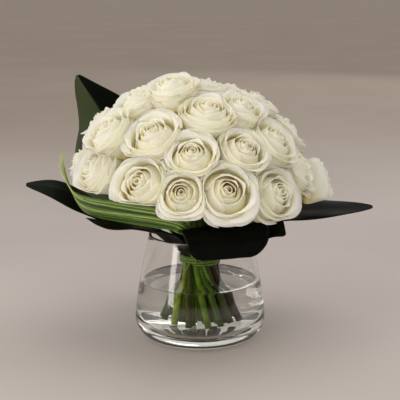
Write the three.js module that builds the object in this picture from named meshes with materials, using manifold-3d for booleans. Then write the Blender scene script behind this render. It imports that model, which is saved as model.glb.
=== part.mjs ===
// A low table centrepiece: a hand-tied dome of white roses, ringed by broad dark leaves and a sheaf of
// grass, standing in a tapered glass vase of water.
// Millimetres, +Z up, -Y is the front. The origin is the centre of the vase's foot, on the table.
import * as THREE from 'three';
import { mergeVertices } from 'three/addons/utils/BufferGeometryUtils.js';
import Module from 'manifold-3d';

const wasm = await Module();
wasm.setup();
const degrees = THREE.MathUtils.degToRad;

// Driving dimensions of the vase and its water
const GAP = 0.3;
const VASE_HEIGHT = 128;
const FOOT_RADIUS = 55;
const BELLY_RADIUS = 79;
const BELLY_HEIGHT = 26;
const RIM_RADIUS = 61.5;
const SIDE_CURVE = 1.35;
const WALL = 3.6;
const FLOOR_THICKNESS = 15;
const INNER_FLOOR_RADIUS = 50;
const INNER_HEEL_HEIGHT = 34;
const WATER_LEVEL = 70;
const RIM_ROUND = 1.5;
const VASE_SIDES = 28;
const HEEL_STEPS = 4;
const INNER_HEEL_STEPS = 3;
const SIDE_STEPS = 3;

// Driving dimensions of the bunch: it is tied at the waist, inside the neck of the vase
const WAIST_HEIGHT = 99;
const WAIST_DEPTH = 14;
const WAIST_RADIUS = 21.8;
const WAIST_SIDES = 16;
const TIED_RADIUS = 17.6;
const LOWEST_ROSE = 8;
const STEM_RADIUS = 3.5;
const STEM_SIDES = 5;
const STEM_TAPER = 0.9;
const STEM_BEND_SPREAD = 1.9;
const STEM_BEND_RISE = 38;
const HIP_RADIUS = 5.2;
const HIP_LENGTH = 9;
const FOOT_SPREAD = 39;
const FOOT_TWIST = degrees(42);
const STEM_FOOT_HEIGHT = 16.6;
const FOOT_STEP = 1.6;
const FOOT_LEVELS = 3;
const TIE_INNER_RADIUS = 23.7;
const TIE_THICKNESS = 1.2;
const TIE_HEIGHT = 9;
const TIE_LEVEL = 97;
const TIE_SIDES = 18;
const TAIL_HALF_WIDTH = 2.2;
const TAIL_TIP_SHARE = 1 / 3;
const TAIL_LEAN = [0.8, 0.6];
// Each loose tail of the tie as stops of [azimuth, radius, height], from its knot down
const TIE_TAILS = [
  [[-28, 24.3, 97], [-34, 29, 88], [-40, 33, 76]],
  [[6, 24.3, 96], [14, 31, 84], [24, 36, 71]],
];

// Driving dimensions of the dome of roses
const DOME_CENTRE = new THREE.Vector3(-9, 0, 170);
const DOME_RADIUS = 148;
const FACING_CENTRE = new THREE.Vector3(-5, 0, 140);
const HEAD_LENGTH = 54;
const WIDEST_AT = 0.7;
const NEIGHBOUR_REACH = 119;
const PRESS_POWER = 6;
const ROUND_REACH = 41;
const COLLAR_RADIUS = 120;
const COLLAR_SLOPE = degrees(15);

// Each rose: azimuth from the front and elevation in degrees, size against a 68 mm head, how far it stands
// out of the dome, the height of the greenery under it, or null, and its turn about its own stem in degrees.
const ROSES = [
  [-27, 19, 1.08, 0, 186, 20],
  [-5, 15, 0.84, 0, 172, 100],
  [17, 16, 1.04, 2, 157, 45],
  [46, 12, 1.0, 2, 163, 150],
  [92, 8, 0.82, 20, 164, 80],
  [76, 21, 0.96, 2, null, 10],
  [-62, 21, 1.02, 4, 188, 60],
  [-92, 20, 0.96, 6, 190, 130],
  [0, 34, 0.92, 0, null, 75],
  [32, 35.5, 0.9, 0, null, 30],
  [58, 37, 1.0, 5, null, 110],
  [-27, 44, 1.06, 2, null, 140],
  [-60, 39, 1.04, 13, null, 0],
  [14, 59, 0.96, 2, null, 50],
  [50, 58, 0.9, 4, null, 95],
  [96, 58, 0.94, 5, null, 15],
  [-67, 61, 0.98, 8, null, 85],
  [-33, 72, 0.96, 14, null, 25],
  [105, 83, 1.0, 0, null, 120],
  [120, 15, 1.0, 2, 172, 35],
  [149, 17, 1.02, 0, 170, 90],
  [178, 14, 1.0, 0, 172, 5],
  [-153, 17, 1.02, 0, 170, 115],
  [-122, 17, 0.98, 2, 172, 70],
  [100, 38, 1.0, 5, null, 55],
  [135, 41, 1.0, 2, null, 125],
  [171, 39, 1.0, 0, null, 40],
  [-156, 41, 0.98, 2, null, 80],
  [-121, 40, 1.0, 4, null, 12],
  [-91, 42, 0.96, 8, null, 65],
  [133, 64, 0.96, 3, null, 105],
  [-176, 63, 0.98, 3, null, 28],
  [-122, 65, 0.96, 4, null, 88],
];

// One rose of size 1, as rings of [radius, height] from its base over the outermost petals to its bud.
// A rim ring has petals: their tips rise above it, and each laps outside the next one's edge.
const RINGS = [
  { radius: 29, height: 13 },
  { radius: 38, height: 36, petals: 5, rise: 4, lap: 0.06, turn: 0 },
  { radius: 35.5, height: 38.5, petals: 5, rise: 4, lap: 0.06, turn: 0 },
  { radius: 21, height: 21 },
  { radius: 26, height: 45, petals: 5, rise: 3, lap: 0.08, turn: 36 },
  { radius: 23.8, height: 46, petals: 5, rise: 3, lap: 0.08, turn: 36 },
  { radius: 13, height: 30 },
  { radius: 14, height: 50, petals: 3, rise: 1.5, lap: 0.12, turn: 20 },
  { radius: 12, height: 50.5, petals: 3, rise: 1.5, lap: 0.12, turn: 20 },
  { radius: 5, height: 44 },
];
const BUD_HEIGHT = 49;
const COLUMNS = 15;
const EDGE_SHARE = 0.84;

// Driving dimensions of the leaves: a stalk in the tie, as stops of [radius, height], then a broad blade
// along a curved rib, as stops of [azimuth, radius, height], creased along it and waved at its edges
const STALK = [[22.6, 93], [22.6, 102.5], [36, 117]];
const STALK_LENGTH = 58;
const STALK_HALF_WIDTH = 2.6;
const LEAVES = {
  leaf_left: {
    azimuth: -98, halfWidth: 34, crease: -0.18, wave: 2.5, tipSide: [0, -0.94, -0.34], stalkLength: 40,
    rib: [[-98, 60, 134], [-97, 100, 148], [-93.5, 142, 169], [-91, 174, 182], [-90, 208, 187]],
  },
  leaf_front_left: {
    azimuth: -46, halfWidth: 26, crease: -0.08, wave: 3, tipSide: [0.4, -0.9, 0.05], stalkLength: 16,
    rib: [[-46, 60, 140], [-50, 92, 149], [-64, 118, 151], [-76, 136, 153]],
  },
  leaf_front_folded: {
    azimuth: 16.5, halfWidth: 52, crease: -0.04, wave: 2, blunt: true,
    rib: [[16.5, 60, 134], [16.5, 82, 154], [16.5, 100, 159], [16.5, 114, 145], [16.5, 107, 122]],
  },
  leaf_front_right: {
    azimuth: 62, halfWidth: 22, crease: -0.06, wave: 0, blunt: true, tipSide: [0.05, 0.9, 0.42],
    rib: [[62, 60, 132], [60, 84, 142], [61, 100, 148], [64.5, 109, 147]],
  },
  leaf_right: {
    azimuth: 107, halfWidth: 33, crease: 0.06, wave: 2, tipSide: [0, 0.97, 0.25], stalkLength: 46,
    rib: [[105, 60, 134], [98, 105, 149], [93, 160, 155], [91, 208, 159]],
  },
  leaf_back_right: {
    azimuth: 140, halfWidth: 34, crease: 0.15, wave: 4,
    rib: [[140, 60, 134], [140, 105, 145], [140, 150, 158], [141, 186, 160]],
  },
  leaf_back: {
    azimuth: -176, halfWidth: 34, crease: 0.15, wave: 4,
    rib: [[-176, 60, 134], [-176, 105, 146], [-175, 150, 158], [-174, 182, 168]],
  },
  leaf_upright: {
    azimuth: -136, halfWidth: 45, crease: -0.5, wave: 1.5, tipSide: [-0.92, 0.26, -0.28],
    rib: [[-136, 60, 134], [-137, 122, 150], [-138, 166, 176], [-136, 170, 238], [-113, 163, 311]],
  },
};
const LEAF_THICKNESS = 1;
const LEAF_ROWS = 9;
const LEAF_COLUMNS = 4;
const RIB_SAMPLES = 200;
const WAVE_RATE = 11;
const WAVE_SKEW = 2;
const WAVE_FROM = 0.4;
const WAVE_FULL = 0.6;
const TWIST_FROM = 0.3;
const BLADE_FULLNESS = 0.8;
const BLUNT_SWELL = 1.3;
const BLUNT_RISE = 1.4;
const BLUNT_NARROWING = 0.25;

// Driving dimensions of the grass: blades that leave the tie in one stalk, fan into a band under the roses
// on the left, and turn up and back at its end. Each stop is [azimuth, radius, height], with the fan there
const BLADE_WIDTH = 5.2;
const BLADE_THICKNESS = 0.8;
const BLADES = 6;
const BAND_PITCH = 4.6;
const BAND_LEAN = degrees(14);
const BLADE_STACK = 1.1;
const BLADE_TIP_SHARE = 0.25;
const TIP_LENGTHS = 3;
const GRASS_STALK_RADIUS = 3.4;
const GRASS_STALK = [[-12, 25.4, 102.1], [-12, 40, 117], [-12, 60, 134.5]];
const BLADE_STOPS = [
  { at: [-12, 58, 133], fan: 0.05 },
  { at: [-9, 84, 152], fan: 0.5 },
  { at: [-12, 102, 163], fan: 0.85 },
  { at: [-25, 111, 169], fan: 1 },
  { at: [-40, 118, 171], fan: 1 },
  { at: [-54, 125, 171], fan: 1 },
  { at: [-68, 135, 170], fan: 1 },
  { at: [-78, 146, 173], fan: 0.95 },
  { at: [-84, 154, 184], fan: 0.75 },
  { at: [-92, 165, 204], fan: 0.4 },
  { at: [-97, 169, 226], fan: 0.1 },
];

// Small helpers

// A point at an azimuth from the front, a distance from the vase's axis and a height.
function around(azimuth, radius, height) {
  const angle = degrees(azimuth);
  return new THREE.Vector3(radius * Math.sin(angle), -radius * Math.cos(angle), height);
}

// A closed three.js geometry as a solid that can be joined and cut.
function toSolid(geometry) {
  const plain = geometry.clone();
  plain.deleteAttribute('normal');
  plain.deleteAttribute('uv');
  const merged = mergeVertices(plain, 1e-4);
  return new wasm.Manifold(new wasm.Mesh({
    numProp: 3,
    vertProperties: new Float32Array(merged.attributes.position.array),
    triVerts: new Uint32Array(merged.index.array),
  }));
}

// A solid's outside as a three.js geometry: loose scraps and sealed hollows are left out.
function toGeometry(solid) {
  const whole = solid.decompose().sort((a, b) => b.volume() - a.volume())[0];
  const mesh = whole.getMesh();
  const geometry = new THREE.BufferGeometry();
  geometry.setAttribute('position', new THREE.BufferAttribute(mesh.vertProperties, 3));
  geometry.setIndex(new THREE.BufferAttribute(mesh.triVerts, 1));
  geometry.computeVertexNormals();
  return geometry;
}

function joined(solids) {
  return wasm.Manifold.union(solids);
}

// A geometry from points and triangles, turned outwards if the triangles wind the other way.
function closedGeometry(points, triangles) {
  let sixVolumes = 0;
  for (const [a, b, c] of triangles) sixVolumes += points[a].dot(points[b].clone().cross(points[c]));
  const outward = sixVolumes < 0 ? triangles.map(([a, b, c]) => [a, c, b]) : triangles;
  const geometry = new THREE.BufferGeometry().setFromPoints(points);
  geometry.setIndex(outward.flat());
  geometry.computeVertexNormals();
  return geometry;
}

// A thin closed shell of even thickness over a grid of points, grid[row][column]. Both faces split their
// squares along the same diagonal.
function shellGeometry(grid, thickness) {
  const rows = grid.length;
  const columns = grid[0].length;
  const front = [];
  const back = [];
  for (let i = 0; i < rows; i++) {
    for (let j = 0; j < columns; j++) {
      const along = grid[Math.min(i + 1, rows - 1)][j].clone().sub(grid[Math.max(i - 1, 0)][j]);
      const across = grid[i][Math.min(j + 1, columns - 1)].clone().sub(grid[i][Math.max(j - 1, 0)]);
      const normal = across.cross(along).normalize().multiplyScalar(thickness / 2);
      front.push(grid[i][j].clone().add(normal));
      back.push(grid[i][j].clone().sub(normal));
    }
  }
  const at = (i, j) => i * columns + j;
  const behind = rows * columns;
  const triangles = [];
  for (let i = 0; i + 1 < rows; i++) {
    for (let j = 0; j + 1 < columns; j++) {
      const [a, b, c, d] = [at(i, j), at(i, j + 1), at(i + 1, j + 1), at(i + 1, j)];
      triangles.push([a, b, c], [a, c, d]);
      triangles.push([a + behind, c + behind, b + behind], [a + behind, d + behind, c + behind]);
    }
  }
  const border = [];
  for (let j = 0; j + 1 < columns; j++) {
    border.push([at(0, j + 1), at(0, j)], [at(rows - 1, j), at(rows - 1, j + 1)]);
  }
  for (let i = 0; i + 1 < rows; i++) {
    border.push([at(i, 0), at(i + 1, 0)], [at(i + 1, columns - 1), at(i, columns - 1)]);
  }
  for (const [a, b] of border) triangles.push([a, b, b + behind], [a, b + behind, a + behind]);
  return closedGeometry([...front, ...back], triangles);
}

// A closed tube through points with a radius at each, such as a stem that swells into its hip.
function tubeGeometry(path, radii, sides) {
  const points = [];
  path.forEach((centre, i) => {
    const ahead = path[Math.min(i + 1, path.length - 1)].clone().sub(path[Math.max(i - 1, 0)]).normalize();
    const side = new THREE.Vector3(0, 1, 0).cross(ahead).normalize();
    const up = ahead.clone().cross(side);
    for (let k = 0; k < sides; k++) {
      const angle = (2 * Math.PI * k) / sides;
      points.push(centre.clone()
        .addScaledVector(side, radii[i] * Math.cos(angle))
        .addScaledVector(up, radii[i] * Math.sin(angle)));
    }
  });
  const triangles = [];
  for (let i = 0; i + 1 < path.length; i++) {
    for (let k = 0; k < sides; k++) {
      const next = (k + 1) % sides;
      const [a, b] = [i * sides + k, i * sides + next];
      triangles.push([a, b, b + sides], [a, b + sides, a + sides]);
    }
  }
  const last = (path.length - 1) * sides;
  for (let k = 1; k + 1 < sides; k++) triangles.push([0, k + 1, k], [last, last + k, last + k + 1]);
  return closedGeometry(points, triangles);
}

function lathe(profile, sides) {
  const points = profile.map(([r, z]) => new THREE.Vector2(r, z));
  return new THREE.LatheGeometry(points, sides).rotateX(Math.PI / 2);
}

// The vase: above its belly the outer radius falls to the rim, and the heel below it is a quarter ellipse
function sideRadius(height) {
  const share = (height - BELLY_HEIGHT) / (VASE_HEIGHT - BELLY_HEIGHT);
  return BELLY_RADIUS - (BELLY_RADIUS - RIM_RADIUS) * share ** SIDE_CURVE;
}

// The inside of the vase from its floor up to a height, set in by a gap.
function insideProfile(top, gap) {
  const heelTop = FLOOR_THICKNESS + INNER_HEEL_HEIGHT;
  const heelRadius = sideRadius(heelTop) - WALL;
  const profile = [];
  for (let k = 0; k <= INNER_HEEL_STEPS; k++) {
    const angle = (Math.PI / 2) * (k / INNER_HEEL_STEPS);
    const radius = INNER_FLOOR_RADIUS + (heelRadius - INNER_FLOOR_RADIUS) * Math.sin(angle);
    profile.push([radius - gap, heelTop - INNER_HEEL_HEIGHT * Math.cos(angle) + (k === 0 ? gap : 0)]);
  }
  for (let k = 1; k <= SIDE_STEPS; k++) {
    const height = heelTop + ((top - heelTop) * k) / SIDE_STEPS;
    profile.push([sideRadius(height) - WALL - gap, height]);
  }
  return profile;
}

function vaseGeometry() {
  const outside = [];
  for (let k = 0; k <= HEEL_STEPS; k++) {
    const angle = (Math.PI / 2) * (k / HEEL_STEPS);
    const radius = FOOT_RADIUS + (BELLY_RADIUS - FOOT_RADIUS) * Math.sin(angle);
    outside.push([radius, BELLY_HEIGHT * (1 - Math.cos(angle))]);
  }
  const shoulder = VASE_HEIGHT - RIM_ROUND;
  for (let k = 1; k <= SIDE_STEPS; k++) {
    const height = BELLY_HEIGHT + ((shoulder - BELLY_HEIGHT) * k) / SIDE_STEPS;
    outside.push([sideRadius(height), height]);
  }
  const inside = insideProfile(shoulder, 0).reverse();
  const crest = [RIM_RADIUS - WALL / 2, VASE_HEIGHT];
  return lathe([[0, 0], ...outside, crest, ...inside, [0, FLOOR_THICKNESS]], VASE_SIDES);
}

// Roses: where each head sits, and the pressed shape that its neighbours leave it
function placeRose([azimuth, elevation, size, reach, floor, turn], index) {
  const tilt = degrees(elevation);
  const outward = around(azimuth, Math.cos(tilt), Math.sin(tilt));
  const tip = DOME_CENTRE.clone().addScaledVector(outward, DOME_RADIUS + reach);
  const axis = tip.clone().sub(FACING_CENTRE).normalize();
  const length = HEAD_LENGTH * size;
  const frame = new THREE.Object3D();
  frame.position.copy(tip).addScaledVector(axis, -length);
  frame.quaternion.setFromUnitVectors(new THREE.Vector3(0, 0, 1), axis);
  frame.rotateZ(degrees(turn));
  frame.updateMatrixWorld();
  const middle = tip.clone().addScaledVector(axis, -length * (1 - WIDEST_AT));
  return { index, azimuth, elevation, size, floor, axis, frame, middle, base: frame.position };
}

// The planes that hold a rose in: one against each near neighbour, one over the greenery below it.
function wallsOf(rose, roses) {
  const walls = [];
  for (const other of roses) {
    if (other === rose) continue;
    const across = other.middle.clone().sub(rose.middle);
    const distance = across.length();
    if (distance > NEIGHBOUR_REACH) continue;
    const normal = across.normalize();
    const share = rose.size / (rose.size + other.size);
    const point = rose.middle.clone().addScaledVector(normal, distance * share);
    walls.push(new THREE.Plane().setFromNormalAndCoplanarPoint(normal, point));
  }
  if (rose.floor !== null) {
    const normal = around(rose.azimuth, Math.sin(COLLAR_SLOPE), -Math.cos(COLLAR_SLOPE));
    const point = around(rose.azimuth, COLLAR_RADIUS, rose.floor);
    walls.push(new THREE.Plane().setFromNormalAndCoplanarPoint(normal, point));
  }
  const toRose = rose.frame.matrixWorld.clone().invert();
  return walls.map((wall) => wall.applyMatrix4(toRose));
}

// Draws a point of a rose in towards its stem's axis, so that it stays inside the walls, and no further out
// than the roundest a bloom gets where no wall is near.
function pressed(point, walls, roundest) {
  const reach = Math.hypot(point.x, point.y);
  if (reach < 1e-6) return point;
  const [ex, ey] = [point.x / reach, point.y / reach];
  let limit = roundest;
  for (const { normal, constant } of walls) {
    const toward = normal.x * ex + normal.y * ey;
    if (toward < 1e-3) continue;
    limit = Math.min(limit, (-constant - normal.z * point.z) / toward - GAP / 2);
  }
  const held = reach / (1 + (reach / Math.max(limit, 1)) ** PRESS_POWER) ** (1 / PRESS_POWER);
  return new THREE.Vector3(ex * held, ey * held, point.z);
}

// Where a column of a petalled ring stands: its angle, and its place across its petal, from -1 to 1.
function petalColumn(column, { petals, turn }) {
  const perPetal = COLUMNS / petals;
  const across = (2 * (column % perPetal)) / (perPetal - 1) - 1;
  const place = Math.floor(column / perPetal) + (across * EDGE_SHARE) / 2;
  return { angle: (2 * Math.PI * place) / petals + degrees(turn), across };
}

// A bloom: cups of petals one inside another round a bud, all in one skin.
function bloomGeometry(rose, roses) {
  const walls = wallsOf(rose, roses);
  const points = [new THREE.Vector3(0, 0, 0)];
  for (const ring of RINGS) {
    for (let column = 0; column < COLUMNS; column++) {
      let angle = (2 * Math.PI * (column - 1)) / COLUMNS; // the middle of the first petal is at 0
      let { radius, height } = ring;
      if (ring.petals) {
        const place = petalColumn(column, ring);
        angle = place.angle;
        radius *= 1 + ring.lap * place.across;
        height += ring.rise * (1 - 2 * place.across ** 2);
      }
      const point = new THREE.Vector3(radius * Math.cos(angle), radius * Math.sin(angle), height);
      points.push(pressed(point.multiplyScalar(rose.size), walls, ROUND_REACH * rose.size));
    }
  }
  points.push(new THREE.Vector3(0, 0, BUD_HEIGHT * rose.size));
  const triangles = [];
  const top = points.length - 1;
  const last = top - COLUMNS;
  for (let k = 0; k < COLUMNS; k++) {
    const next = (k + 1) % COLUMNS;
    triangles.push([0, 1 + next, 1 + k], [top, last + k, last + next]);
    for (let ring = 0; ring + 1 < RINGS.length; ring++) {
      const [a, b] = [1 + ring * COLUMNS + k, 1 + ring * COLUMNS + next];
      triangles.push([a, b, b + COLUMNS], [a, b + COLUMNS, a + COLUMNS]);
    }
  }
  return closedGeometry(points, triangles);
}

// Stems: parallel at the waist, splayed in a spiral below it and spread to the roses above it
function waistPoint(rose) {
  const share = (90 - rose.elevation) / (90 - LOWEST_ROSE);
  return around(rose.azimuth, TIED_RADIUS * share, WAIST_HEIGHT);
}

function footPoint(rose) {
  const waist = waistPoint(rose);
  const spread = FOOT_SPREAD / TIED_RADIUS;
  return new THREE.Vector3(waist.x, waist.y, 0)
    .applyAxisAngle(new THREE.Vector3(0, 0, 1), FOOT_TWIST)
    .multiplyScalar(spread)
    .setZ(STEM_FOOT_HEIGHT + FOOT_STEP * (rose.index % FOOT_LEVELS));
}

function stemGeometry(rose) {
  const waist = waistPoint(rose);
  const hip = rose.base.clone().addScaledVector(rose.axis, -HIP_LENGTH - GAP);
  const bend = new THREE.QuadraticBezierCurve3(
    waist,
    new THREE.Vector3(waist.x * STEM_BEND_SPREAD, waist.y * STEM_BEND_SPREAD, WAIST_HEIGHT + STEM_BEND_RISE),
    hip,
  );
  const seat = rose.base.clone().addScaledVector(rose.axis, -GAP);
  const path = [footPoint(rose), waist, bend.getPoint(0.5), hip, seat];
  const neck = STEM_RADIUS * STEM_TAPER;
  return tubeGeometry(path, [STEM_RADIUS, STEM_RADIUS, neck, neck, HIP_RADIUS * rose.size], STEM_SIDES);
}

function stemsSolid(roses) {
  const waist = new THREE.CylinderGeometry(WAIST_RADIUS, WAIST_RADIUS, WAIST_DEPTH, WAIST_SIDES)
    .rotateX(Math.PI / 2).translate(0, 0, WAIST_HEIGHT);
  return joined([toSolid(waist), ...roses.map((rose) => toSolid(stemGeometry(rose)))]);
}

function waterSolid(roses) {
  const profile = insideProfile(WATER_LEVEL, GAP);
  const water = toSolid(lathe([[0, FLOOR_THICKNESS + GAP], ...profile, [0, WATER_LEVEL]], VASE_SIDES));
  const holeRadius = STEM_RADIUS + GAP;
  const holes = roses.map((rose) => {
    const [foot, waist] = [footPoint(rose), waistPoint(rose)];
    const below = foot.clone().sub(waist).setLength(2 * GAP).add(foot);
    return toSolid(tubeGeometry([below, waist], [holeRadius, holeRadius], STEM_SIDES));
  });
  return water.subtract(joined(holes));
}

// Leaves: half the width of a blade along it, as a share of its widest.
function bladeWidth(along, blunt) {
  if (along <= 0) return 0;
  if (blunt) {
    const swell = BLUNT_SWELL * Math.sin((Math.PI / 2) * Math.min(1, along * BLUNT_RISE));
    return Math.min(1, swell) * (1 - BLUNT_NARROWING * along ** 4);
  }
  return Math.sin(Math.PI * Math.min(1, along ** BLADE_FULLNESS)) ** BLADE_FULLNESS;
}

function leafGeometry({ azimuth, halfWidth, crease, wave, tipSide, blunt, stalkLength, rib }) {
  const points = [...STALK.map((stop) => around(azimuth, ...stop)), ...rib.map((stop) => around(...stop))];
  const curve = new THREE.CatmullRomCurve3(points, false, 'centripetal');
  const stalk = (stalkLength ?? STALK_LENGTH) / curve.getLength();
  const startSide = new THREE.Vector3(Math.cos(degrees(azimuth)), Math.sin(degrees(azimuth)), 0);
  const endSide = tipSide ? new THREE.Vector3(...tipSide) : startSide;
  const bends = points.length - 1;
  const stalkBends = STALK.length - 1;
  const grid = [];
  for (let i = 0; i <= LEAF_ROWS; i++) {
    const past = Math.max(i - stalkBends, 0) / (LEAF_ROWS - stalkBends);
    const t = (Math.min(i, stalkBends) + past * (bends - stalkBends)) / bends;
    const centre = curve.getPoint(t);
    const ahead = curve.getTangent(t);
    const share = curve.getLengths(RIB_SAMPLES)[Math.round(RIB_SAMPLES * t)] / curve.getLength();
    const side = startSide.clone().lerp(endSide, THREE.MathUtils.smoothstep(share, TWIST_FROM, 1));
    side.addScaledVector(ahead, -side.dot(ahead)).normalize();
    const up = ahead.clone().cross(side).normalize();
    const width = bladeWidth((share - stalk) / (1 - stalk), blunt);
    const half = STALK_HALF_WIDTH + (halfWidth - STALK_HALF_WIDTH) * width;
    const outer = THREE.MathUtils.smoothstep(share, WAVE_FROM, WAVE_FULL);
    const row = [];
    for (let j = 0; j <= LEAF_COLUMNS; j++) {
      const u = (2 * j) / LEAF_COLUMNS - 1;
      const ripple = wave * u * u * Math.sin(WAVE_RATE * share + WAVE_SKEW * u) * outer;
      const lift = width * (crease * half * Math.abs(u) + ripple);
      row.push(centre.clone().addScaledVector(side, half * u).addScaledVector(up, lift));
    }
    grid.push(row);
  }
  return shellGeometry(grid, LEAF_THICKNESS);
}

// Grass: each blade lies above the one before it, and a little behind it, as shingles do.
function bladeGeometry(order) {
  const place = order - (BLADES - 1) / 2;
  const last = BLADE_STOPS.length - (order % TIP_LENGTHS);
  const stops = BLADE_STOPS.slice(0, last);
  const spine = stops.map(({ at }) => around(...at));
  const grid = stops.map(({ at: [azimuth], fan }, i) => {
    const ahead = spine[Math.min(i + 1, last - 1)].clone().sub(spine[Math.max(i - 1, 0)]).normalize();
    const side = around(azimuth, Math.sin(BAND_LEAN), Math.cos(BAND_LEAN));
    side.addScaledVector(ahead, -side.dot(ahead)).normalize();
    const outward = side.clone().cross(ahead);
    const half = (BLADE_WIDTH / 2) * (i === last - 1 ? BLADE_TIP_SHARE : 1);
    const centre = spine[i].clone()
      .addScaledVector(side, place * BAND_PITCH * fan)
      .addScaledVector(outward, place * BLADE_STACK);
    return [centre.clone().addScaledVector(side, -half), centre.clone().addScaledVector(side, half)];
  });
  return shellGeometry(grid, BLADE_THICKNESS);
}

function grassSolid() {
  const path = GRASS_STALK.map((stop) => around(...stop));
  const stalk = tubeGeometry(path, path.map(() => GRASS_STALK_RADIUS), STEM_SIDES);
  const blades = Array.from({ length: BLADES }, (_, order) => toSolid(bladeGeometry(order)));
  return joined([toSolid(stalk), ...blades]);
}

// The tie: a flat band of grass round the waist, with two loose tails
function tailGeometry(stops) {
  const grid = stops.map((stop, i) => {
    const centre = around(...stop);
    const across = around(stop[0] + 90, ...TAIL_LEAN);
    across.multiplyScalar(TAIL_HALF_WIDTH * (i === stops.length - 1 ? TAIL_TIP_SHARE : 1));
    return [centre.clone().sub(across), centre.clone().add(across)];
  });
  return shellGeometry(grid, BLADE_THICKNESS);
}

function tieSolid() {
  const [inner, outer] = [TIE_INNER_RADIUS, TIE_INNER_RADIUS + TIE_THICKNESS];
  const [low, high] = [TIE_LEVEL - TIE_HEIGHT / 2, TIE_LEVEL + TIE_HEIGHT / 2];
  const band = lathe([[inner, low], [outer, low], [outer, high], [inner, high], [inner, low]], TIE_SIDES);
  return joined([toSolid(band), ...TIE_TAILS.map((stops) => toSolid(tailGeometry(stops)))]);
}

// The scene
const opaque = (color, roughness) => new THREE.MeshStandardMaterial({ color, roughness });
const clear = (color) => new THREE.MeshStandardMaterial({
  color, roughness: 0.05, transparent: true, opacity: 0.35,
});
const GLASS = clear(0xdfe6e4);
const WATER = clear(0xd5dcd6);
const PETAL = opaque(0xf3f0e2, 0.6);
const STEM = opaque(0x4f6b2c, 0.5);
const LEAF = opaque(0x1b2416, 0.35);
const GRASS = opaque(0x7d9a45, 0.45);

const centrepiece = new THREE.Group();

function add(name, geometry, finish) {
  const mesh = new THREE.Mesh(geometry, finish);
  mesh.name = name;
  centrepiece.add(mesh);
  return mesh;
}

const roses = ROSES.map(placeRose);
add('vase', vaseGeometry(), GLASS);
add('water', toGeometry(waterSolid(roses)), WATER);
add('rose_stems', toGeometry(stemsSolid(roses)), STEM);
for (const rose of roses) {
  const number = String(rose.index + 1).padStart(2, '0');
  const mesh = add('rose_' + number, bloomGeometry(rose, roses), PETAL);
  mesh.position.copy(rose.frame.position);
  mesh.quaternion.copy(rose.frame.quaternion);
}
for (const [name, leaf] of Object.entries(LEAVES)) add(name, leafGeometry(leaf), LEAF);
add('grass_sheaf', toGeometry(grassSolid()), GRASS);
add('tie', toGeometry(tieSolid()), GRASS);

export default centrepiece;
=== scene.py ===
# %% [markdown]
# A low table centrepiece: a dome of white roses, tied by hand with broad dark leaves and a sheaf of grass, in
# a tapered glass vase of water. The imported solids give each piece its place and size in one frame. Here every
# solid is dressed with a finer mesh of the same form, because a petal's curl, a leaf's veins and a clear,
# smooth glass need far more faces than a solid that only has to stand, weigh and collide.

import bpy
import numpy as np
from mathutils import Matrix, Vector


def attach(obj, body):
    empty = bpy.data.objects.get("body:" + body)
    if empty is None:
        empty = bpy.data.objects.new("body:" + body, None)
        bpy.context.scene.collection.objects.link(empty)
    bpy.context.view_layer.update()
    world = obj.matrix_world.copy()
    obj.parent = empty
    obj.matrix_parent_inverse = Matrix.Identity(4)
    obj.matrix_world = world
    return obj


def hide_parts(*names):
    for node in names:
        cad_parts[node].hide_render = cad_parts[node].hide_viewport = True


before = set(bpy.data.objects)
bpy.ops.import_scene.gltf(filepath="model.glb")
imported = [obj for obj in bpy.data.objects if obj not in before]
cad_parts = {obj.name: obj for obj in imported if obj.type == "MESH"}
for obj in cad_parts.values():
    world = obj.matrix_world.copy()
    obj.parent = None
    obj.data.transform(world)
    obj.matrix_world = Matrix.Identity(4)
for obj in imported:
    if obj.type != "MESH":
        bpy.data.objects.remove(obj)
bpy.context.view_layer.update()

MM = 0.001

# %% [markdown]
# The camera stands straight in front, a little above the dome, with a long lens. Its distance and lens were
# worked out from the shallow ellipses of the vase's mouth and foot.

# %% Camera
CAMERA_DISTANCE = 1400
CAMERA_ELEVATION = np.radians(12)
CAMERA_TARGET = np.array([0, 0, 168])
LENS = 105.03


def aim(thing, place, target):
    """Puts a camera or light at a place, in millimetres, and turns its -Z axis to a target."""
    thing.location = Vector(place) * MM
    thing.rotation_euler = (Vector(target) - Vector(place)).to_track_quat("-Z", "Y").to_euler()


def placed(name, data):
    """A new object in the scene, of a camera, a light or a mesh."""
    thing = bpy.data.objects.new(name, data)
    bpy.context.scene.collection.objects.link(thing)
    return thing


camera = placed("camera", bpy.data.cameras.new("camera"))
camera.data.lens = LENS
toward_camera = np.array([0, -np.cos(CAMERA_ELEVATION), np.sin(CAMERA_ELEVATION)])
aim(camera, CAMERA_TARGET + CAMERA_DISTANCE * toward_camera, CAMERA_TARGET)
bpy.context.scene.camera = camera
print("camera at", [round(x, 3) for x in camera.location])

# %% [markdown]
# A material is a small graph of nodes. One helper adds a node with its values and links. The others make what
# several finishes need, such as clouds, streaks, a skin with a fine relief, and clear stuff.


# %% Material helpers
def linear(hex_colour):
    """An sRGB hex colour as linear red, green, blue and alpha. A channel c becomes c / 12.92 where it's dark,
    and ((c + 0.055) / 1.055) ^ 2.4 where it isn't."""
    c = np.array([int(hex_colour[i:i + 2], 16) / 255 for i in (1, 3, 5)])
    c = np.where(c <= 0.04045, c / 12.92, ((c + 0.055) / 1.055) ** 2.4)
    return (*c, 1.0)


def node(tree, kind, values=None, links=None):
    """Adds a node. Values go to the inputs of those names, or else to the node's own settings. Links join
    other nodes' sockets to its inputs."""
    made = tree.nodes.new("ShaderNode" + kind)
    for key, value in (values or {}).items():
        if isinstance(key, int) or key in made.inputs:
            made.inputs[key].default_value = value
        else:
            setattr(made, key, value)
    for key, socket in (links or {}).items():
        tree.links.new(socket, made.inputs[key])
    return made


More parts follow.
